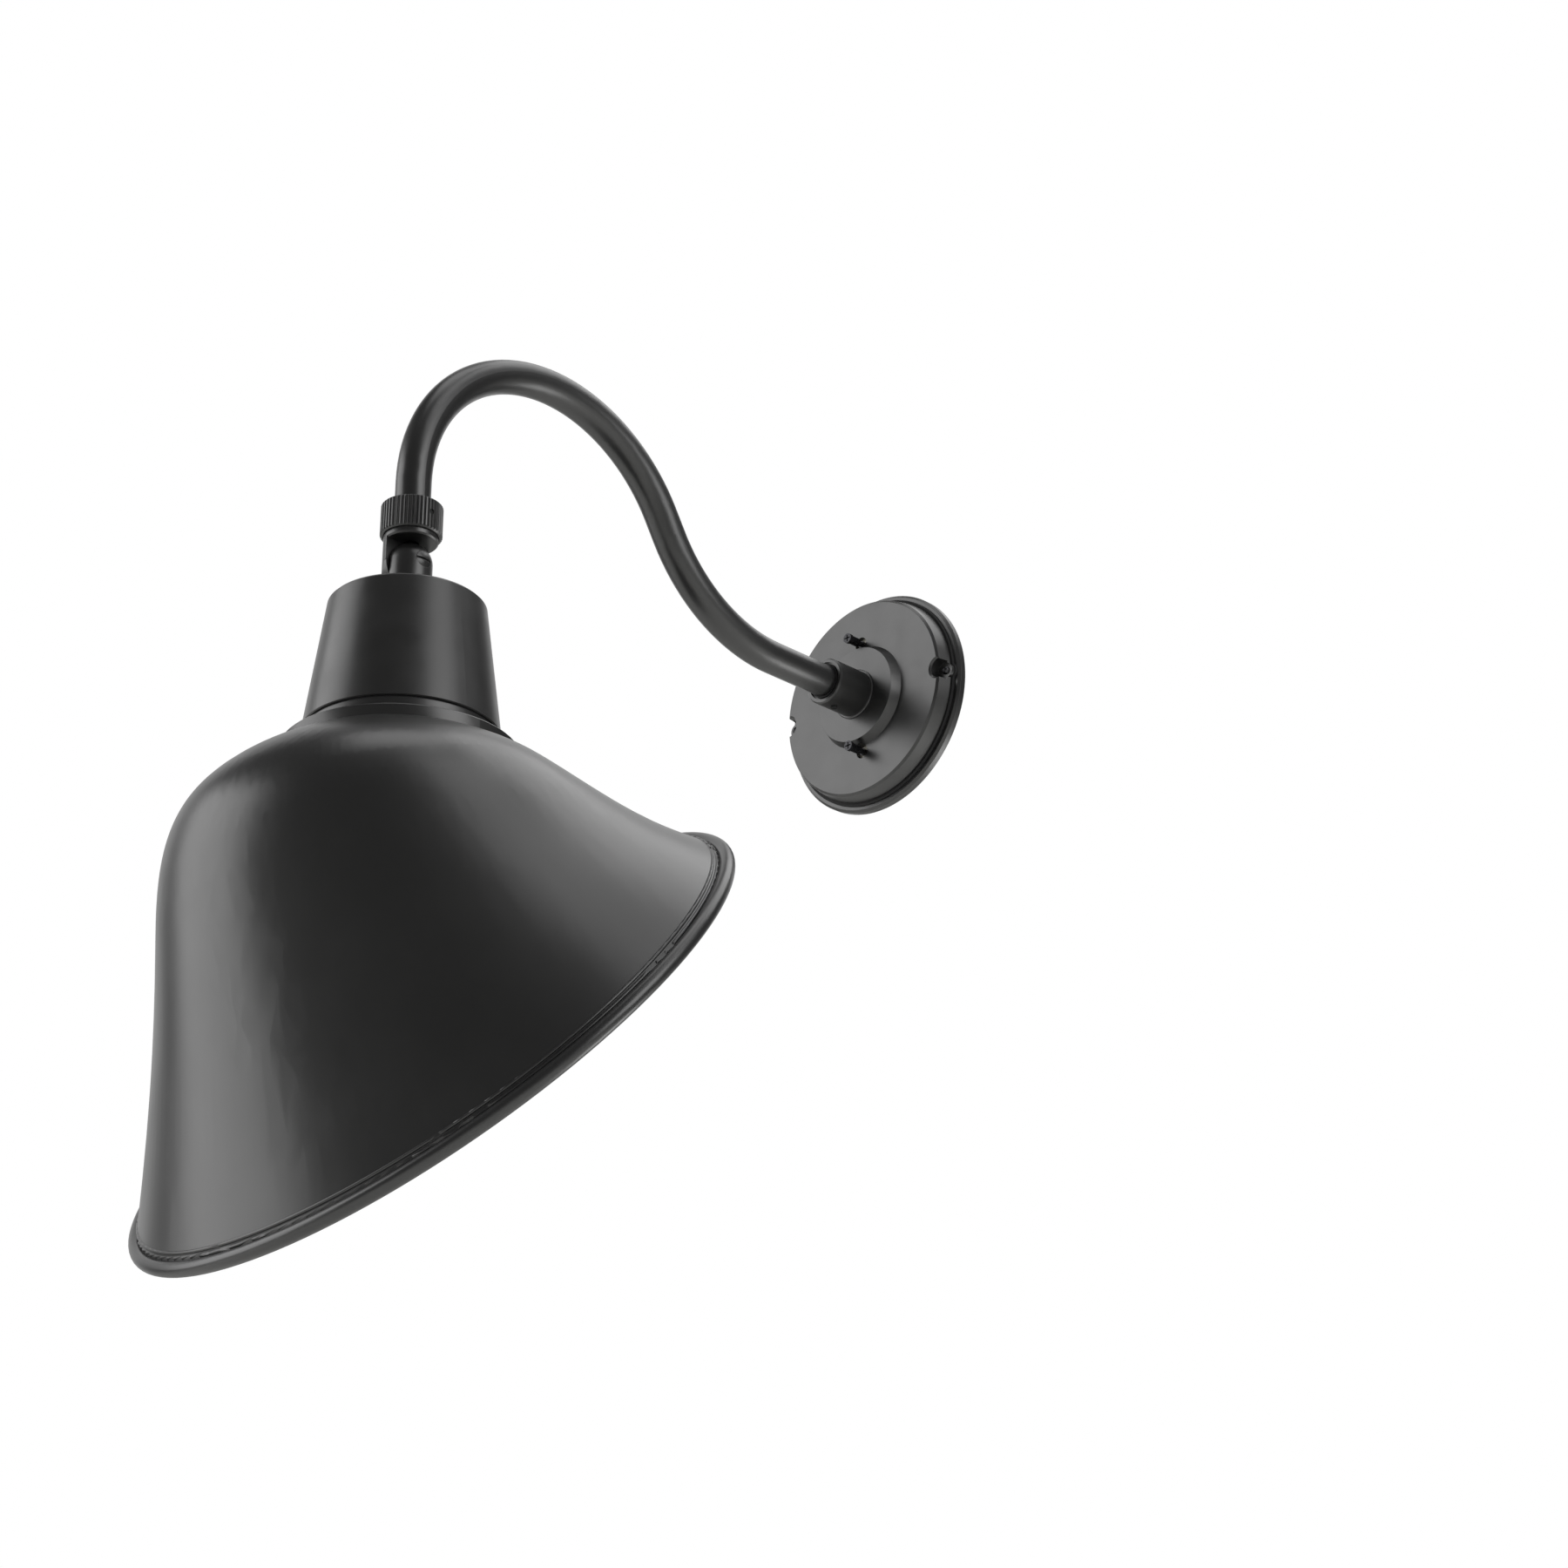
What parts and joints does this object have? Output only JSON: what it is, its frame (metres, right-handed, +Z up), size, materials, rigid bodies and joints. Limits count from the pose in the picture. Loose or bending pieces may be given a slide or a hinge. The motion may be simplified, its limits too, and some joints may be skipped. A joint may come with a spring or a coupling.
{
  "type": "gooseneck wall sconce",
  "caption": "Gooseneck barn-style wall lamp with a round wall canopy, a bent tube arm, a swivel knuckle and a tilted bell shade over an integrated LED light engine.",
  "frame": {"origin": "centre of the wall plate on the wall plane", "axes": "+Y into the wall, -Y out along the arm, +Z up, +X to the side"},
  "size_m": [0.3568, 0.4939, 0.5488],
  "materials": {
    "black_coat": "satin black powder coat",
    "black_cast": "satin black powder coat on cast metal",
    "black_steel": "black oxide steel",
    "white_inside": "white gloss coat",
    "zinc_steel": "zinc plated steel",
    "brass": "bare brass",
    "black_rubber": "moulded rubber",
    "nylon": "moulded nylon",
    "driver_case": "moulded case",
    "board": "white solder mask",
    "phosphor": "phosphor cap",
    "lens_plastic": "frosted diffuser",
    "reflector_metal": "bright reflector"
  },
  "bodies": {
    "wall": {"wall_plate": "black_cast", "wall_seal": "black_rubber", "cover_seal": "black_rubber", "wall_cover": "black_cast", "cover_screws": "black_steel", "mounting_screws": "black_steel", "screw_retainers": "nylon", "ground_screw": "brass", "arm_hub": "black_cast", "hub_seal": "black_rubber", "hub_set_screws": "black_steel", "hub_washer": "zinc_steel", "hub_nut": "zinc_steel", "gooseneck_arm": "black_coat", "arm_ferrule": "black_cast"},
    "ring": {"lock_ring": "black_cast", "ring_set_screw": "black_steel"},
    "swivel": {"swivel_washer": "nylon", "stem_clip": "zinc_steel", "upper_knuckle": "black_cast", "hinge_screw": "black_steel", "hinge_nut": "black_steel", "hinge_washer": "nylon"},
    "lamp_head": {"lower_knuckle": "black_cast", "foot_seal": "black_rubber", "neck_nut": "zinc_steel", "neck_housing": "black_cast", "neck_seal": "black_rubber", "heat_sink": "black_cast", "led_driver": "driver_case", "driver_screws": "zinc_steel", "led_board": "board", "led_emitters": "phosphor", "board_screws": "zinc_steel", "reflector": "reflector_metal", "lens": "lens_plastic", "lens_seal": "black_rubber", "lens_bezel": "white_inside", "bezel_screws": "zinc_steel", "bell_shade": "black_coat", "shade_seal": "black_rubber", "shade_lock_screw": "black_steel", "shade_lock_nut": "zinc_steel"}
  },
  "joints": [
    {"name": "lock_ring_turn", "type": "hinge", "parent": "wall", "child": "ring", "pos_m": [0, -0.361, -0.015], "axis": [0, 0, 1], "range_deg": [0, 180]},
    {"name": "head_swivel", "type": "hinge", "parent": "wall", "child": "swivel", "pos_m": [0, -0.361, -0.025], "axis": [0, 0, 1], "range_deg": [-120, 120]},
    {"name": "head_tilt", "type": "hinge", "parent": "swivel", "child": "lamp_head", "pos_m": [0, -0.361, -0.04], "axis": [1, 0, 0], "range_deg": [-90, 60]}
  ]
}
